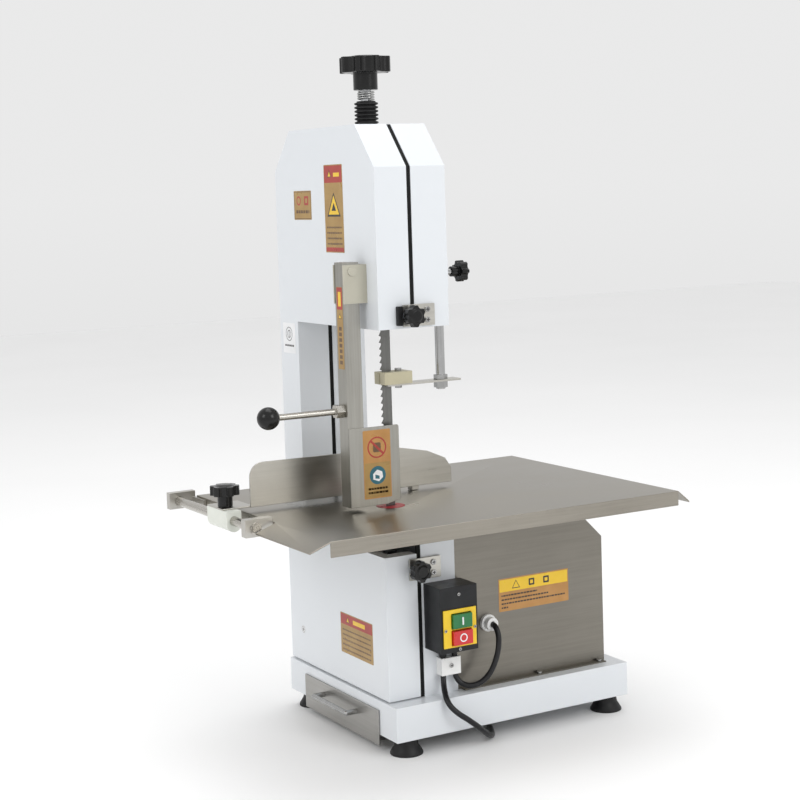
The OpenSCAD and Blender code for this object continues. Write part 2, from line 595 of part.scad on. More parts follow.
// ---------------------------------------------------------------- mains cord
fl = -base_h - foot_h;  // floor
coil_x = -350;          // coil on the floor behind the machine
coil_y = 240;
coil_in = 32.1;         // cord's line at the coil's inside and outside
coil_out = 50;
module mains_cord() {
    color([0.05, 0.05, 0.05]) at() sweep(smooth([[3, 75, 61.9], [3, 75, 44], [3, 75, 28], [4.5, 74.3, 20], [9, 72, 12.8], [16, 69, 7.2], [24, 66.5, 1.2], [31, 68, -6.8], [36, 76, -16], [38.5, 89, -26], [38, 104, -38], [33, 118, -49.5], [23, 131, -58], [8, 142.5, fl + 3.8], [-16, 155, fl + 3.7], [-60, 174, fl + 3.7], [-120, 186, fl + 3.7], [-190, 190, fl + 3.7], [-260, 190, fl + 3.7], [-320, 190, fl + 3.7]], 4), cord_r, 12);
}
module cord_coil() {
    color([0.05, 0.05, 0.05]) at() translate([coil_x, coil_y, fl]) {
        rotate_extrude($fn = 96) translate([coil_in - cord_r, 0.1]) square([coil_out - coil_in + 2 * cord_r + 0.7, 4 * cord_r + 0.1]);
        translate([-coil_out - 0.7, 0, 11.1]) cy(cord_r, 0, 52);
    }
}
module mains_plug() {
    color([0.05, 0.05, 0.05]) at() translate([coil_x - coil_out - 0.7, coil_y + 52, fl + 13.2]) {
        rotate([-90, 0, 0]) linear_extrude(height = 40) polygon([[-12, -13], [12, -13], [19, -6], [19, 6], [12, 13], [-12, 13], [-19, 6], [-19, -6]]);
        bxz(-3.2, 3.2, 39.9, 60, 5, 6.6);
        for (s = [0, 1]) mirror([s, 0, 0]) translate([8, 40, -4]) rotate([0, 30, 0]) bxz(-3.2, 3.2, -0.1, 18, -0.8, 0.8);
    }
}

base_tray();
rubber_feet();
drawer_runners();
drawer_tray();
drawer_handle();
rear_frame();
seam_gasket();
front_door();
hinge_frame_leaves();
hinge_door_leaves();
latch_plates();
latch_studs();
latch_knob_upper();
latch_knob_lower();
lower_wheel();
drive_shaft();
upper_wheel();
upper_bearings();
upper_axle();
tension_carriage();
carriage_guides();
bellows();
tension_spring();
tension_knob();
wheel_scraper();
saw_blade();
motor();
motor_cover();
guide_post();
guide_arm();
guide_fasteners();
guide_block();
guide_lock_knob();
guide_lock_stud();
lower_guide();
table_top();
table_insert();
table_slot_cover();
table_supports();
fence_rod();
fence_rod_brackets();
fence_block();
fence_plate();
fence_knob();
pusher_bracket();
pusher_arm();
pusher_plate();
pusher_handle();
pusher_ball();
switch_box();
switch_plate();
start_button();
stop_button();
small_screws();
cable_gland();
cable_clip();
motor_lead();
mains_cord();
cord_coil();
mains_plug();
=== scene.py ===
import bpy, bmesh, math
from mathutils import Vector, Matrix


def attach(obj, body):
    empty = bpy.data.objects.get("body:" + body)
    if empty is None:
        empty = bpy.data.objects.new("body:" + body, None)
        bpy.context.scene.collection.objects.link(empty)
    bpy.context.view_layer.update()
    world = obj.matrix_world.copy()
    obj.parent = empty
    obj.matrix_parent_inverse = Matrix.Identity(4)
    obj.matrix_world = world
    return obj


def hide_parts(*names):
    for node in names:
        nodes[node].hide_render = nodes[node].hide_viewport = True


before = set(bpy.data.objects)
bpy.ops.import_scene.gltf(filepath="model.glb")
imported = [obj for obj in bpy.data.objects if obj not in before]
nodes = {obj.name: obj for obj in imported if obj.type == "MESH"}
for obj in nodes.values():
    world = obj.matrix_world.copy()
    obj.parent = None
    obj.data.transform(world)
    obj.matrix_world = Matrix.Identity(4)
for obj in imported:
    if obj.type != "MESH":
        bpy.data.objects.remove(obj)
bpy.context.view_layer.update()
scene = bpy.context.scene
OX, OY, OZ = 0.0885, -0.108, 0.065


def P(x, y, z):
    """Millimetres from the upper housing's front right edge at the base's top, to the row frame in metres."""
    return Vector((x / 1000 + OX, y / 1000 + OY, z / 1000 + OZ))


# ---------------------------------------------------------------- camera
az, pitch, roll = math.radians(60.125), math.radians(4.306), math.radians(-1.827)
fwd = Vector((-math.sin(az) * math.cos(pitch), math.cos(az) * math.cos(pitch), -math.sin(pitch)))
right = fwd.cross(Vector((0, 0, 1))).normalized()
up = right.cross(fwd)
r2 = right * math.cos(roll) + up * math.sin(roll)
u2 = -right * math.sin(roll) + up * math.cos(roll)
cam_data = bpy.data.cameras.new("camera")
cam = bpy.data.objects.new("camera", cam_data)
scene.collection.objects.link(cam)
m = Matrix((r2, u2, -fwd)).transposed().to_4x4()
m.translation = P(1816.54, -1013.26, 636.81)
cam.matrix_world = m
cam_data.sensor_width = 36
cam_data.lens = 1702.8 * 36 / 800
cam_data.shift_y = -0.1
cam_data.clip_start = 0.01
scene.camera = cam
scene.view_settings.view_transform = "Standard"

# ---------------------------------------------------------------- materials
def new_mat(name):
    mt = bpy.data.materials.new(name)
    mt.use_nodes = True
    nt = mt.node_tree
    return mt, nt, nt.nodes["Principled BSDF"]


def noise(nt, scale, stretch=(1, 1, 1), detail=3, rough=0.5):
    tc = nt.nodes.new("ShaderNodeTexCoord")
    mp = nt.nodes.new("ShaderNodeMapping")
    mp.inputs["Scale"].default_value = stretch
    n = nt.nodes.new("ShaderNodeTexNoise")
    n.inputs["Scale"].default_value = scale
    n.inputs["Detail"].default_value = detail
    n.inputs["Roughness"].default_value = rough
    nt.links.new(tc.outputs["Object"], mp.inputs["Vector"])
    nt.links.new(mp.outputs["Vector"], n.inputs["Vector"])
    return n.outputs["Fac"]


def ramp(nt, fac, a, b, lo=0.3, hi=0.7):
    r = nt.nodes.new("ShaderNodeValToRGB")
    r.color_ramp.elements[0].position = lo
    r.color_ramp.elements[1].position = hi
    r.color_ramp.elements[0].color = (*a, 1)
    r.color_ramp.elements[1].color = (*b, 1)
    nt.links.new(fac, r.inputs["Fac"])
    return r.outputs["Color"]


def remap(nt, fac, a, b, lo=0.3, hi=0.7):
    r = nt.nodes.new("ShaderNodeMapRange")
    r.inputs["From Min"].default_value = lo
    r.inputs["From Max"].default_value = hi
    r.inputs["To Min"].default_value = a
    r.inputs["To Max"].default_value = b
    nt.links.new(fac, r.inputs["Value"])
    return r.outputs["Result"]


def bump(nt, b, fac, dist, strength=1.0, chain=None):
    n = nt.nodes.new("ShaderNodeBump")
    n.inputs["Distance"].default_value = dist
    n.inputs["Strength"].default_value = strength
    nt.links.new(fac, n.inputs["Height"])
    if chain:
        nt.links.new(chain, n.inputs["Normal"])
    nt.links.new(n.outputs["Normal"], b.inputs["Normal"])
    return n.outputs["Normal"]


def edge_highlight_mix(nt, col, highlight_col, radius=0.0012, amount=0.6):
    """Painted highlight on edges: where the surface turns within radius, the colour moves to the lighter
    highlight_col, broken up by noise.
    """
    bv = nt.nodes.new("ShaderNodeBevel")
    bv.samples = 4
    bv.inputs["Radius"].default_value = radius
    ge = nt.nodes.new("ShaderNodeNewGeometry")
    dot = nt.nodes.new("ShaderNodeVectorMath")
    dot.operation = "DOT_PRODUCT"
    nt.links.new(bv.outputs["Normal"], dot.inputs[0])
    nt.links.new(ge.outputs["Normal"], dot.inputs[1])
    k = remap(nt, dot.outputs["Value"], amount, 0.0, 0.85, 0.99)
    n = noise(nt, 160, detail=4)
    # mask of the painted edge highlight, broken up by noise
    highlight_mask = nt.nodes.new("ShaderNodeMath")
    highlight_mask.operation = "MULTIPLY"
    nt.links.new(k, highlight_mask.inputs[0])
    nt.links.new(remap(nt, n, 0.2, 1.0, 0.35, 0.65), highlight_mask.inputs[1])
    mx = nt.nodes.new("ShaderNodeMix")
    mx.data_type = "RGBA"
    mx.inputs["B"].default_value = (*highlight_col, 1)
    for i in mx.inputs:
        if i.name == "B" and i.type == "RGBA":
            i.default_value = (*highlight_col, 1)
        if i.name == "A" and i.type == "RGBA":
            nt.links.new(col, i)
    nt.links.new(highlight_mask.outputs[0], mx.inputs[0])
    for o in mx.outputs:
        if o.type == "RGBA":
            return o


def painted(name, c, c2, rough=(0.2, 0.34), peel=0.00002, coat=0.3, edge=None, scale=9):
    mt, nt, b = new_mat(name)
    col = ramp(nt, noise(nt, scale, detail=5), c, c2)
    # edge: a lighter colour on the turned edges, a painted highlight
    if edge:
        col = edge_highlight_mix(nt, col, edge, amount=0.35)
    nt.links.new(col, b.inputs["Base Color"])
    nt.links.new(remap(nt, noise(nt, 26, detail=4), *rough), b.inputs["Roughness"])
    b.inputs["Coat Weight"].default_value = coat
    b.inputs["Coat Roughness"].default_value = 0.12
    bump(nt, b, noise(nt, 900, detail=2), peel)
    return mt


def brushed(name, c, c2, grain=(1, 1, 1), rough=(0.24, 0.4), depth=0.000004, scale=260, smear=4):
    """Metal with grinding lines: grain is the stretch that makes noise long in one direction."""
    mt, nt, b = new_mat(name)
    b.inputs["Metallic"].default_value = 1
    lines = noise(nt, scale, grain, detail=4, rough=0.65)
    cloud = noise(nt, smear, detail=5, rough=0.6)
    a = ramp(nt, lines, c, c2, 0.3, 0.72)
    d = ramp(nt, cloud, tuple(0.86 * x for x in c), c2, 0.3, 0.75)
    mx = nt.nodes.new("ShaderNodeMix")
    mx.data_type = "RGBA"
    mx.inputs[0].default_value = 0.5
    rg = [i for i in mx.inputs if i.type == "RGBA"]
    nt.links.new(a, rg[0])
    nt.links.new(d, rg[1])
    nt.links.new([o for o in mx.outputs if o.type == "RGBA"][0], b.inputs["Base Color"])
    add = nt.nodes.new("ShaderNodeMath")
    add.operation = "ADD"
    nt.links.new(remap(nt, lines, rough[0] * 0.5, rough[1] * 0.5), add.inputs[0])
    nt.links.new(remap(nt, cloud, rough[0] * 0.5, rough[1] * 0.5), add.inputs[1])
    nt.links.new(add.outputs[0], b.inputs["Roughness"])
    bump(nt, b, lines, depth)
    return mt


def plastic(name, c, rough=(0.25, 0.4), grain=0.00001, gscale=1400, var=0.12, coat=0.0, edge=None, spec=0.5):
    mt, nt, b = new_mat(name)
    c2 = tuple(min(1, x * (1 + var) + 0.004) for x in c)
    col = ramp(nt, noise(nt, 40, detail=4), c, c2)
    # edge: a lighter colour on the turned edges, a painted highlight
    if edge:
        col = edge_highlight_mix(nt, col, edge, 0.0008, 0.5)
    nt.links.new(col, b.inputs["Base Color"])
    nt.links.new(remap(nt, noise(nt, 60, detail=5), *rough), b.inputs["Roughness"])
    b.inputs["Coat Weight"].default_value = coat
    b.inputs["Specular IOR Level"].default_value = spec
    bump(nt, b, noise(nt, gscale, detail=2), grain)
    return mt


X_GRAIN, Y_GRAIN, Z_GRAIN = (0.03, 1, 1), (1, 0.03, 1), (1, 1, 0.03)
# the edge colours below are painted highlights on the turned edges
M = {
    "white": painted("white_powder_coat", (0.72, 0.748, 0.778), (0.728, 0.756, 0.786), rough=(0.275, 0.3), edge=(0.9, 0.92, 0.94), scale=5),
    "table": brushed("stainless_table", (0.27, 0.25, 0.215), (0.37, 0.345, 0.3), (0.05, 0.03, 1), (0.24, 0.4), 0.000004),
    "flat_y": brushed("stainless_lengthwise", (0.46, 0.445, 0.405), (0.59, 0.575, 0.53), Y_GRAIN, (0.26, 0.4), 0.000004),
    "arm": brushed("stainless_arm", (0.30, 0.29, 0.262), (0.43, 0.42, 0.385), Z_GRAIN, (0.26, 0.4), 0.000004),
    "cover": brushed("stainless_cover", (0.185, 0.172, 0.148), (0.255, 0.24, 0.21), Y_GRAIN, (0.3, 0.44), 0.000004, smear=3),
    "drawer": brushed("stainless_drawer", (0.34, 0.33, 0.31), (0.47, 0.46, 0.44), X_GRAIN, (0.26, 0.4), 0.000004),
    "rod": brushed("stainless_rod", (0.45, 0.43, 0.39), (0.55, 0.53, 0.49), X_GRAIN, (0.2, 0.34), 0.000002, scale=500),
    "plate": brushed("stainless_bracket", (0.47, 0.455, 0.42), (0.55, 0.535, 0.5), (1, 1, 1), (0.26, 0.38), 0.000002, scale=60, smear=12),
    "zinc": brushed("bright_zinc", (0.34, 0.34, 0.335), (0.47, 0.47, 0.465), (1, 1, 1), (0.16, 0.28), 0.000002, scale=120, smear=30),
    "chrome": brushed("chromed_post", (0.36, 0.36, 0.36), (0.6, 0.6, 0.6), Z_GRAIN, (0.06, 0.16), 0.000004, 400, 20),
    "turned": brushed("turned_steel", (0.42, 0.43, 0.44), (0.58, 0.59, 0.6), (1, 0.05, 1), (0.25, 0.4)),
    "blade": brushed("blade_steel", (0.13, 0.13, 0.125), (0.21, 0.21, 0.2), Z_GRAIN, (0.28, 0.42), scale=600),
    "cast": painted("cast_iron", (0.10, 0.105, 0.11), (0.16, 0.165, 0.17), (0.5, 0.7), 0.00012, 0, scale=30),
    "motor": painted("motor_enamel", (0.05, 0.075, 0.11), (0.07, 0.1, 0.14), (0.3, 0.45), 0.00005, 0.2),
    "rubber": plastic("black_rubber", (0.007, 0.007, 0.0075), (0.42, 0.6), 0.00004, 900, 0.6, edge=(0.03, 0.03, 0.03), spec=0.3),
    "gasket": plastic("gasket_rubber", (0.004, 0.004, 0.004), (0.5, 0.65), 0.00003, 700, 0.3, spec=0.15),
    "bakelite": plastic("black_bakelite", (0.004, 0.004, 0.004), (0.16, 0.28), 0.000006, 300, 0.4, coat=0.1, edge=(0.02, 0.02, 0.02), spec=0.28),
    "sw_black": plastic("switch_plastic", (0.008, 0.0085, 0.0095), (0.32, 0.44), 0.00003, 1600, 0.5, edge=(0.03, 0.03, 0.031), spec=0.3),
    "sw_yellow": plastic("switch_yellow", (0.78, 0.52, 0.01), (0.3, 0.42), coat=0.1),
    "green": plastic("button_green", (0.0, 0.15, 0.035), (0.26, 0.36), coat=0.3),
    "red": plastic("button_red", (0.55, 0.008, 0.012), (0.26, 0.36), coat=0.3),
    "insert": plastic("red_nylon", (0.33, 0.012, 0.02), (0.35, 0.5)),
    "cream": plastic("cream_nylon", (0.43, 0.395, 0.27), (0.34, 0.5), 0.00004, 500, 0.15, edge=(0.55, 0.52, 0.4)),
    "nylon": plastic("white_nylon", (0.66, 0.68, 0.62), (0.34, 0.48), 0.00003, 500, 0.12, edge=(0.82, 0.83, 0.8)),
    "clip": plastic("white_clip", (0.78, 0.78, 0.77), (0.3, 0.45), 0.00002, 700, 0.06),
    "bracket": painted("cream_bracket", (0.40, 0.38, 0.30), (0.48, 0.46, 0.38), (0.3, 0.42), 0.00004, 0.1, edge=(0.75, 0.74, 0.7)),
    "pvc": plastic("cord_pvc", (0.006, 0.006, 0.007), (0.28, 0.4), 0.000015, 500, 0.4, spec=0.35),
    "tie": plastic("cable_tie", (0.02, 0.02, 0.02), (0.3, 0.4)),
    "lab_gold": painted("label_gold", (0.33, 0.19, 0.045), (0.40, 0.245, 0.065), (0.25, 0.4), 0.000005, 0.2, scale=60),
    "lab_red": painted("label_red", (0.33, 0.018, 0.01), (0.40, 0.028, 0.015), (0.25, 0.4), 0.000005, 0.2, scale=60),
    "lab_yellow": painted("label_yellow", (0.80, 0.50, 0.012), (0.85, 0.56, 0.02), (0.25, 0.4), 0.000005, 0.2, scale=60),
    "lab_orange": painted("label_orange", (0.42, 0.20, 0.045), (0.50, 0.25, 0.065), (0.25, 0.4), 0.000005, 0.2, scale=60),
    "lab_black_and_recess_shade": painted("label_black_and_recess_shade", (0.015, 0.013, 0.012), (0.03, 0.028, 0.025), (0.3, 0.45), 0.000005, 0.1, scale=60),
    "lab_white": painted("label_white", (0.78, 0.79, 0.8), (0.86, 0.86, 0.87), (0.3, 0.45), 0.000005, 0.1, scale=60),
    "lab_blue": painted("label_blue", (0.008, 0.10, 0.14), (0.015, 0.13, 0.17), (0.3, 0.45), 0.000005, 0.1, scale=60),
    "lab_brown": painted("label_brown", (0.10, 0.05, 0.02), (0.15, 0.08, 0.03), (0.3, 0.45), 0.000005, 0.1, scale=60),
}

# ---------------------------------------------------------------- mains cord
D = 0.0072
route = [[3, 75, 61.9], [3, 75, 44], [3, 75, 28], [4.5, 74.3, 20], [9, 72, 12.8], [16, 69, 7.2], [24, 66.5, 1.2], [31, 68, -6.8], [36, 76, -16],
         [38.5, 89, -26], [38, 104, -38], [33, 118, -49.5], [23, 131, -58], [8, 142.5, -61.2], [-16, 155, -61.3], [-60, 174, -61.3],
         [-120, 186, -61.3], [-190, 190, -61.3], [-260, 190, -61.3], [-320, 190, -61.3], [-350, 190, -61.3]]
CX, CY, R0, R1, FL = -350, 240, 50, 32.1, -65


def catmull(q, n):
    out = []
    for i in range(len(q) - 1):
        a, b, c, d = (Vector(q[max(i - 1, 0)]), Vector(q[i]), Vector(q[i + 1]), Vector(q[min(i + 2, len(q) - 1)]))
        for j in range(n):
            t = j / n
            out.append(0.5 * (2 * b + (c - a) * t + (2 * a - 5 * b + 4 * c - d) * t * t + (3 * b - a - 3 * c + d) * t ** 3))
    out.append(Vector(q[-1]))
    return out


line = catmull(route, 5)[:-1]
low_turn, rise, high_turn = 882, 90, 918
steps = 15
for s in range(0, low_turn + rise + high_turn + 1, steps):
    if s <= low_turn:
        r, z = R0 - (R0 - R1) * s / low_turn, 3.7
    elif s <= low_turn + rise:
        t = (s - low_turn) / rise
        r, z = R1, 3.7 + 7.3 * (3 * t * t - 2 * t ** 3)
    else:
        r, z = R1 + 7.3 * (s - low_turn - rise) / 360, 11.0
    a = math.radians(-90 - s)
    line.append(Vector((CX + r * math.cos(a), CY + r * math.sin(a), FL + z)))
xe = line[-1].x
for y in (252, 264, 276, 288, 294):
    line.append(Vector((xe, y, FL + 11.0 + 2.1 * min(1, (y - 240) / 50))))
line = [P(*v) for v in line]


def tube_curve(name, pts, radius, mt, res=5):
    cu = bpy.data.curves.new(name, "CURVE")
    cu.dimensions = "3D"
    sp = cu.splines.new("POLY")
    sp.points.add(len(pts) - 1)
    for p, v in zip(sp.points, pts):
        p.co = (*v, 1)
    cu.bevel_depth = radius
    cu.bevel_resolution = res
    cu.use_fill_caps = True
    sp.use_smooth = True
    ob = bpy.data.objects.new(name, cu)
    scene.collection.objects.link(ob)
    cu.materials.append(mt)
    return ob


cord = tube_curve("mains_cord_flex", line, D / 2, M["pvc"])
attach(cord, "frame")
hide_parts("mains_cord", "cord_coil")

# ---------------------------------------------------------------- mesh helpers
def obj_from(bm, name, mats, body, smooth=True, bev=0, seg=2, angle=35):
    me = bpy.data.meshes.new(name)
    bm.normal_update()
    bm.to_mesh(me)
    bm.free()
    ob = bpy.data.objects.new(name, me)
    scene.collection.objects.link(ob)
    for x in mats:
        me.materials.append(x)
    if smooth:
        me.shade_smooth()
        finish_edges(ob, bev, seg, angle)
    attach(ob, body)
    return ob


def finish_edges(ob, bev, seg=2, angle=35):
    if bev:
        b = ob.modifiers.new("rounding", "BEVEL")
        b.width = bev
        b.segments = seg
        b.limit_method = "ANGLE"
        b.angle_limit = math.radians(angle)
        b.harden_normals = True
        b.miter_outer = "MITER_ARC"
    else:
        e = ob.modifiers.new("edges", "EDGE_SPLIT")
        e.split_angle = math.radians(angle)


def prism(bm, pts, O, U, V, N, n0, n1, mi=0):
    lo = [bm.verts.new(O + U * x + V * y + N * n0) for x, y in pts]
    hi = [bm.verts.new(O + U * x + V * y + N * n1) for x, y in pts]
    fs = [bm.faces.new(hi), bm.faces.new(lo[::-1])]
    k = len(pts)
    for i in range(k):
        fs.append(bm.faces.new((lo[i], lo[(i + 1) % k], hi[(i + 1) % k], hi[i])))
    for f in fs:
        f.material_index = mi
    return fs


def circle(cx, cy, r, n=32, a0=0, a1=360):
    return [(cx + r * math.cos(math.radians(a0 + (a1 - a0) * i / n)), cy + r * math.sin(math.radians(a0 + (a1 - a0) * i / n))) for i in range(n)]


def rrect(x0, y0, x1, y1, r, n=5):
    out = []
    for cx, cy, a in ((x1 - r, y1 - r, 0), (x0 + r, y1 - r, 90), (x0 + r, y0 + r, 180), (x1 - r, y0 + r, 270)):
        for i in range(n + 1):
            t = math.radians(a + 90 * i / n)
            out.append((cx + r * math.cos(t), cy + r * math.sin(t)))
    return out


def ring(bm, cx, cy, ro, ri, O, U, V, N, n0, n1, mi, n=36):
    for i in range(n):
        a0, a1 = 2 * math.pi * i / n, 2 * math.pi * (i + 1) / n
        q = [(cx + ri * math.cos(a0), cy + ri * math.sin(a0)), (cx + ro * math.cos(a0), cy + ro * math.sin(a0)),
             (cx + ro * math.cos(a1), cy + ro * math.sin(a1)), (cx + ri * math.cos(a1), cy + ri * math.sin(a1))]
        prism(bm, q, O, U, V, N, n0, n1, mi)


MM = 0.001


def decal(name, body, O, U, V, N, base, items, mats, slot):
    """A sticker: base outline, then raised colour fields. All sizes in millimetres in its own plane."""
    bm = bmesh.new()
    U, V = U * MM, V * MM
    prism(bm, base, O, U, V, N, 0, 0.00018, 0)
    for kind, mi, lift, *a in items:
        n0, n1 = 0.00015, 0.00018 + lift * 0.00005
        if kind == "poly":
            prism(bm, a[0], O, U, V, N, n0, n1, mi)
        elif kind == "rect":
            prism(bm, [(a[0], a[1]), (a[2], a[1]), (a[2], a[3]), (a[0], a[3])], O, U, V, N, n0, n1, mi)
        elif kind == "disc":
            prism(bm, circle(a[0], a[1], a[2]), O, U, V, N, n0, n1, mi)
        elif kind == "ring":
            ring(bm, a[0], a[1], a[2], a[3], O, U, V, N, n0, n1, mi)
    return obj_from(bm, name, mats, body, smooth=False)


def bars(x0, x1, ys, h, mi, lift=1, gap=(3.2, 0.9), seed=1):
    """Rows of short plain dashes that stand for small print without being any writing."""
    out, k = [], seed
    for y in ys:
        x = x0
        while x < x1 - 1:
            k = (k * 1103515245 + 12345) % 2147483648
            w = gap[0] * (0.6 + 0.8 * (k / 2147483648))
            out.append(("rect", mi, lift, x, y, min(x + w, x1), y + h))
            x += w + gap[1]
    return out


def tri(cx, cy, s):
    return [(cx - s, cy - s * 0.62), (cx + s, cy - s * 0.62), (cx, cy + s * 1.1)]


Xv, Yv, Zv = Vector((1, 0, 0)), Vector((0, 1, 0)), Vector((0, 0, 1))
front = dict(U=Xv, V=Zv, N=-Yv)
sideX = dict(U=Yv, V=Zv, N=Xv)
LM = [M["lab_gold"], M["lab_red"], M["lab_black_and_recess_shade"], M["lab_yellow"], M["lab_white"], M["lab_brown"], M["lab_blue"], M["lab_orange"]]

# labels on the door: gold fields, red header, plain dashes, a generic warning triangle
decal("label_door_tall", "door", P(-132, 0, 562), **front, base=rrect(0, 0, 50, 112, 1.5), mats=LM, slot="switch_yellow", items=[
    ("poly", 1, 1, rrect(1.2, 89, 48.8, 110.8, 1)), ("poly", 1, 1, rrect(1.2, 1.2, 48.8, 6.5, 1)), ("poly", 5, 2, tri(15, 99.3, 5.4)), ("poly", 3, 3, tri(15, 99.2, 3.6)), ("rect", 3, 2, 26, 96.5, 42, 101.5),
    ("poly", 2, 1, tri(25, 57, 18)), ("poly", 3, 2, tri(25, 57.3, 14.2)), ("poly", 2, 3, tri(25, 57, 6))]
    + bars(5, 45, [31, 24, 17, 10], 2.2, 5, seed=7))
decal("label_door_small", "door", P(-220, 0, 604), **front, base=rrect(0, 0, 50, 38, 1), mats=LM, slot="switch_yellow", items=[
    ("rect", 5, 1, 1, 1, 49, 1.8), ("rect", 5, 1, 1, 36.2, 49, 37), ("rect", 5, 1, 1, 1.8, 1.8, 36.2), ("rect", 5, 1, 48.2, 1.8, 49, 36.2),
    ("ring", 1, 1, 14, 25, 6.2, 4.2), ("poly", 1, 1, rrect(30, 19, 42, 31, 1.5)), ("poly", 0, 2, rrect(33, 22, 39, 28, 1))]
    + bars(6, 44, [8.5], 4, 5, gap=(6, 1.6), seed=3))
decal("label_door_low", "door", P(-128, 0, 40), **front, base=rrect(0, 0, 86, 53, 1.5), mats=LM, slot="switch_yellow", items=[
    ("poly", 1, 1, rrect(1.2, 38, 84.8, 51.8, 1)), ("poly", 5, 2, tri(20, 44.4, 4.6)), ("poly", 3, 3, tri(20, 44.3, 3)), ("rect", 3, 2, 34, 42, 66, 47.5)]
    + bars(5, 80, [30, 23.5, 17, 10.5, 4], 2.0, 5, seed=11))
decal("label_column", "door", P(-267, 0, 424), **front, base=rrect(0, 0, 36, 41, 1.5), mats=LM[4:5] + LM[1:], slot="white_powder_coat", items=[
    ("ring", 2, 1, 18, 26, 9.5, 8.6), ("ring", 2, 1, 18, 26, 5.4, 4.6), ("rect", 2, 1, 17.4, 21.5, 18.6, 30.5)] + bars(5, 31, [9], 2.6, 2, gap=(3.4, 1), seed=5))
decal("label_dot", "door", P(-238, 0, 46), **front, base=circle(0, 0, 5.5), mats=LM[4:5] + LM[1:], slot="white_powder_coat", items=[
    ("ring", 2, 1, 0, 0, 4.6, 4.0), ("rect", 2, 1, -0.5, -2.6, 0.5, 2.6), ("rect", 2, 1, -2.6, -0.5, 2.6, 0.5)])
# pusher arm: red over gold, on the side that faces the operator
decal("label_arm", "pusher", P(-47.5, -32, 420), **front, base=rrect(0, 0, 15, 102, 0.6), mats=LM, slot="switch_yellow", items=[
    ("poly", 1, 1, rrect(0.6, 74, 14.4, 101.4, 0.6)), ("rect", 3, 2, 4, 78, 11, 96), ("poly", 5, 2, tri(7.5, 65, 4.2)), ("poly", 3, 3, tri(7.5, 65, 2.7))]
    + [("rect", 5, 1, 4, y, 11, y + 4.6) for y in (6, 13, 20, 27, 34, 41, 48)])
# pusher plate: orange with a plain prohibition ring and a blue disc
decal("label_plate", "pusher", P(-27, -13, 256), **sideX, base=rrect(0, 0, 39, 86, 1.5), mats=[M["lab_orange"]] + LM[1:7] + [M["lab_gold"]], slot="switch_yellow", items=[
    ("poly", 7, 1, rrect(1.5, 1.5, 37.5, 45, 1)), ("ring", 1, 2, 19.5, 64, 13.5, 11.6), ("poly", 5, 2, rrect(14, 58, 25, 70, 2)),
    ("poly", 1, 3, [(10, 71.5), (12, 73.5), (29.5, 56.5), (27.5, 54.5)]), ("disc", 6, 2, 19.5, 29, 11.5), ("poly", 4, 3, [(13, 24), (21, 21), (27, 26), (26, 33), (19, 36), (13, 31)]), ("poly", 6, 4, [(16, 25), (22, 24), (22, 28), (16, 30)])]
    + bars(6, 34, [11, 6], 2.6, 5, seed=9))
# motor cover: yellow header over an orange field of dashes
decal("label_cover", "frame", P(-6.5, 168, 90), **sideX, base=rrect(0, 0, 110, 43, 1), mats=[M["lab_orange"]] + LM[1:], slot="switch_yellow", items=[
    ("poly", 3, 1, rrect(1.5, 25.5, 108.5, 41.5, 0.8)), ("poly", 2, 2, tri(27, 32.4, 6.4)), ("poly", 3, 3, tri(27, 32.5, 4.9)),
    ("poly", 2, 2, rrect(47, 29, 56, 38, 1)), ("poly", 3, 3, rrect(49.2, 31.2, 53.8, 35.8, 0.8)), ("poly", 2, 2, rrect(70, 29, 79, 38, 1)), ("poly", 3, 3, rrect(72.2, 31.2, 76.8, 35.8, 0.8))]
    + bars(4, 60, [19.5], 2, 2, seed=2) + bars(4, 78, [14.2], 2, 2, seed=21) + bars(4, 104, [9], 2, 2, seed=5) + bars(4, 14, [3.8], 2, 2, seed=6))
# button symbols: the plain on bar and off ring
decal("start_symbol", "start_button", P(42, 83, 102), **sideX, base=rrect(-1.1, -5, 1.1, 5, 1), mats=LM[4:5], slot="white_nylon", items=[])
bm = bmesh.new()
ring(bm, 0, 0, 5.4, 3.9, P(42.6, 83, 81), Yv * MM, Zv * MM, Xv, 0, 0.0002, 0)
obj_from(bm, "stop_symbol", LM[4:5], "stop_button", smooth=False)

# ---------------------------------------------------------------- tension spring: a real helix
pts = []
turns, r, z0, z1 = 3.6, 10.3, 757.6, 768.6
for i in range(101):
    t = i / 100
    a = 2 * math.pi * turns * t
    pts.append(P(-143.5 + r * math.cos(a), 72 + r * math.sin(a), z0 + (z1 - z0) * t))
spring = tube_curve("tension_spring_coil", pts, 0.00125, M["zinc"], 4)
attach(spring, "frame")
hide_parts("tension_spring")

# ---------------------------------------------------------------- small parts that ride on the CAD
# black stop block on the door beside the upper latch
bm = bmesh.new()
prism(bm, rrect(24.5, 472, 31.5, 496, 1.2), P(0, 0, 0), Yv * MM, Zv * MM, Xv, 0, 0.006)
obj_from(bm, "door_stop_block", [M["rubber"]], "door", bev=0.0006)
# tapered sleeve where the mains lead leaves the switch box
bm = bmesh.new()
prof = [(0.0037, 0.0), (0.0046, 0.0003), (0.0050, 0.0025), (0.0050, 0.0035), (0.0055, 0.0040), (0.0055, 0.0050), (0.0060, 0.0055), (0.0060, 0.0205), (0.0037, 0.0208)]
base = P(3, 75, 49.2)
rings = [[bm.verts.new(base + Vector((r * math.cos(2 * math.pi * k / 32), r * math.sin(2 * math.pi * k / 32), z))) for k in range(32)] for r, z in prof]
for a, b in zip(rings, rings[1:] + rings[:1]):
    for k in range(32):
        bm.faces.new((a[k], a[(k + 1) % 32], b[(k + 1) % 32], b[k]))
obj_from(bm, "cord_strain_relief", [M["rubber"]], "frame")
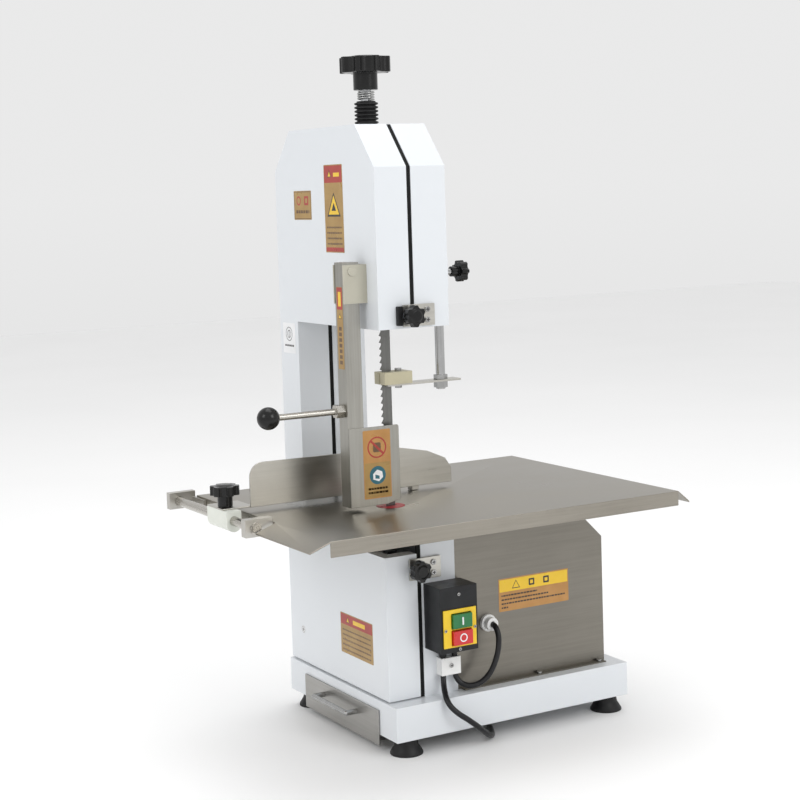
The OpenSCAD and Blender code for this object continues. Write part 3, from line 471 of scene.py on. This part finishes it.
# tie round the stored coil
bm = bmesh.new()
path = [(R1 - 4.4, -0.4), (R0 + 5.1, -0.4)]
rr = rrect(-(R0 + 4.6), 0.15, -(R1 - 4.1), 15.1, 3.2, 6)
ri = rrect(-(R0 + 3.9), 0.1, -(R1 - 3.4), 14.6, 2.8, 6)
w = 1.6
O = P(CX, CY, FL)
def tp(x, y, z):
    a = math.radians(-38)
    x, y = x * math.cos(a) - y * math.sin(a), x * math.sin(a) + y * math.cos(a)
    return O + Vector((x, y, z)) * MM
A = [[bm.verts.new(tp(x, s * w, z)) for x, z in rr] for s in (-1, 1)]
B = [[bm.verts.new(tp(x, s * w, z)) for x, z in ri] for s in (-1, 1)]
k = len(rr)
for i in range(k):
    j = (i + 1) % k
    bm.faces.new((A[0][i], A[0][j], A[1][j], A[1][i]))
    bm.faces.new((B[0][j], B[0][i], B[1][i], B[1][j]))
    bm.faces.new((A[0][j], A[0][i], B[0][i], B[0][j]))
    bm.faces.new((A[1][i], A[1][j], B[1][j], B[1][i]))
obj_from(bm, "coil_tie", [M["tie"]], "frame")

# cross recesses of the screws, drawn as four-armed dark inserts: painted shade standing in the recesses
def recess_shade(name, body, O, U, V, N, r):
    bm = bmesh.new()
    s = r * 0.62
    t = r * 0.17
    prism(bm, [(-s, -t), (s, -t), (s, t), (-s, t)], O, U, V, N, -0.0001, 0.00006)
    prism(bm, [(-t, -s), (t, -s), (t, s), (-t, s)], O, U, V, N, -0.0001, 0.00007)
    return bm
scr = [(P(6.4, 67, 484 - 6.5), 3.6), (P(6.4, 67, 484 + 6.5), 3.6), (P(2.4, 67, 165 - 6.5), 3.6), (P(2.4, 67, 165 + 6.5), 3.6),
       (P(39.4, 59.5, 91.5), 2), (P(39.4, 102.5, 91.5), 2), (P(37.2, 81, 65.5), 2.2), (P(37.2, 81, 135), 2.2), (P(10.6, 84, 38), 3)]
bm = bmesh.new()
for o, r in scr:
    s, t = r * 0.62, r * 0.16
    prism(bm, [(-s, -t), (s, -t), (s, t), (-s, t)], o, Yv * MM, Zv * MM, Xv, -0.0001, 0.00006)
    prism(bm, [(-t, -s), (t, -s), (t, s), (-t, s)], o, Yv * MM, Zv * MM, Xv, -0.0001, 0.00007)
# the black of these inserts is painted shade in the screw recesses; the same black also prints the labels
obj_from(bm, "screw_recess_shade", [M["lab_black_and_recess_shade"]], "frame", smooth=False)

# ---------------------------------------------------------------- materials and edge rounding of the CAD nodes
look = {
    "base_tray": ("white", 0.9), "rubber_feet": ("rubber", 0.6), "drawer_runners": ("zinc", 0), "drawer_tray": ("drawer", 0.4), "drawer_handle": ("zinc", 0),
    "rear_frame": ("white", 0.9), "seam_gasket": ("gasket", 0.5), "front_door": ("white", 0.9), "hinge_frame_leaves": ("zinc", 0.3), "hinge_door_leaves": ("zinc", 0.3),
    "latch_plates": ("flat_y", 0.4), "latch_studs": ("zinc", 0), "latch_knob_upper": ("bakelite", 0.9), "latch_knob_lower": ("bakelite", 0.9),
    "lower_wheel": ("turned", 0.4), "drive_shaft": ("turned", 0.3), "upper_wheel": ("turned", 0.4), "upper_bearings": ("zinc", 0.3), "upper_axle": ("turned", 0.3),
    "tension_carriage": ("turned", 0.5), "carriage_guides": ("cast", 0.6), "bellows": ("rubber", 0), "tension_spring": ("zinc", 0), "tension_knob": ("bakelite", 1.6),
    "wheel_scraper": ("nylon", 0.5), "saw_blade": ("blade", 0), "motor": ("motor", 0.5), "motor_cover": ("cover", 0.6), "guide_post": ("chrome", 0.5), "guide_arm": ("flat_y", 0.4),
    "guide_fasteners": ("zinc", 0.4), "guide_block": ("cream", 0.9), "guide_lock_knob": ("bakelite", 0.9), "guide_lock_stud": ("chrome", 0.3), "lower_guide": ("cream", 0.5),
    "table_top": ("table", 0.6), "table_insert": ("insert", 0.3), "table_slot_cover": ("table", 0.3), "table_supports": ("flat_y", 0.6),
    "fence_rod": ("rod", 0.4), "fence_rod_brackets": ("plate", 0.7), "fence_block": ("nylon", 1.2), "fence_plate": ("flat_y", 0.6), "fence_knob": ("bakelite", 1.2),
    "pusher_bracket": ("bracket", 0.6), "pusher_arm": ("arm", 0.5), "pusher_plate": ("arm", 0.6), "pusher_handle": ("rod", 0.4), "pusher_ball": ("bakelite", 0),
    "switch_box": ("sw_black", 1.6), "switch_plate": ("sw_yellow", 0.6), "start_button": ("green", 0.9), "stop_button": ("red", 0.9), "small_screws": ("zinc", 0.4),
    "cable_gland": ("clip", 0.6), "cable_clip": ("clip", 0.8), "motor_lead": ("pvc", 0), "mains_cord": ("pvc", 0), "cord_coil": ("pvc", 0), "mains_plug": ("rubber", 0.8),
}
for n, o in nodes.items():
    key, bev = look[n]
    o.data.materials.clear()
    o.data.materials.append(M[key])
    if "custom_normal" in o.data.attributes:
        o.data.attributes.remove(o.data.attributes["custom_normal"])
    o.data.shade_smooth()
    wd = o.modifiers.new("weld", "WELD")
    wd.merge_threshold = 0.000002
    if bev:
        dm = o.modifiers.new("flats", "DECIMATE")
        dm.decimate_type = "DISSOLVE"
        dm.angle_limit = math.radians(0.4)
    finish_edges(o, bev * MM, 3 if bev >= 0.9 else 2, 32 if bev else 34)

# ---------------------------------------------------------------- room and light
bm = bmesh.new()
bmesh.ops.create_grid(bm, x_segments=8, y_segments=8, size=7)
me = bpy.data.meshes.new("floor")
bm.to_mesh(me)
bm.free()
floor = bpy.data.objects.new("floor", me)
scene.collection.objects.link(floor)
mt, nt, b = new_mat("floor_paint")
nt.links.new(ramp(nt, noise(nt, 1.5, detail=3), (0.93, 0.93, 0.93), (0.95, 0.95, 0.95)), b.inputs["Base Color"])
b.inputs["Roughness"].default_value = 0.75
me.materials.append(mt)

world = bpy.data.worlds.new("studio")
scene.world = world
world.use_nodes = True
nt = world.node_tree
bg = nt.nodes["Background"]
tc = nt.nodes.new("ShaderNodeTexCoord")
sp = nt.nodes.new("ShaderNodeSeparateXYZ")
nt.links.new(tc.outputs["Generated"], sp.inputs[0])
rp = nt.nodes.new("ShaderNodeValToRGB")
e = rp.color_ramp.elements
e[0].position, e[0].color = 0.0, (0.55, 0.55, 0.55, 1)
e[1].position, e[1].color = 1.0, (1, 1, 1, 1)
x = e.new(0.5)
x.color = (1, 1, 1, 1)
mr = nt.nodes.new("ShaderNodeMapRange")
mr.inputs["From Min"].default_value = -1
nt.links.new(sp.outputs["Z"], mr.inputs["Value"])
nt.links.new(mr.outputs[0], rp.inputs["Fac"])
nt.links.new(rp.outputs["Color"], bg.inputs["Color"])
bg.inputs["Strength"].default_value = 0.82


def area(name, loc, target, size, power, color=(1, 1, 1)):
    l = bpy.data.lights.new(name, "AREA")
    l.shape = "RECTANGLE"
    l.size, l.size_y = size
    l.energy = power
    l.color = color
    o = bpy.data.objects.new(name, l)
    scene.collection.objects.link(o)
    o.location = loc
    o.rotation_euler = (Vector(target) - Vector(loc)).to_track_quat("-Z", "Y").to_euler()
    return o


area("key", (0.6, -3.2, 2.2), (0, 0, 0.4), (1.5, 1.5), 20)
area("side", (3.0, 0.9, 2.0), (0, 0, 0.35), (1.3, 1.6), 26)
area("top", (-0.3, 0.3, 3.2), (0, 0, 0.3), (2.2, 2.2), 30)
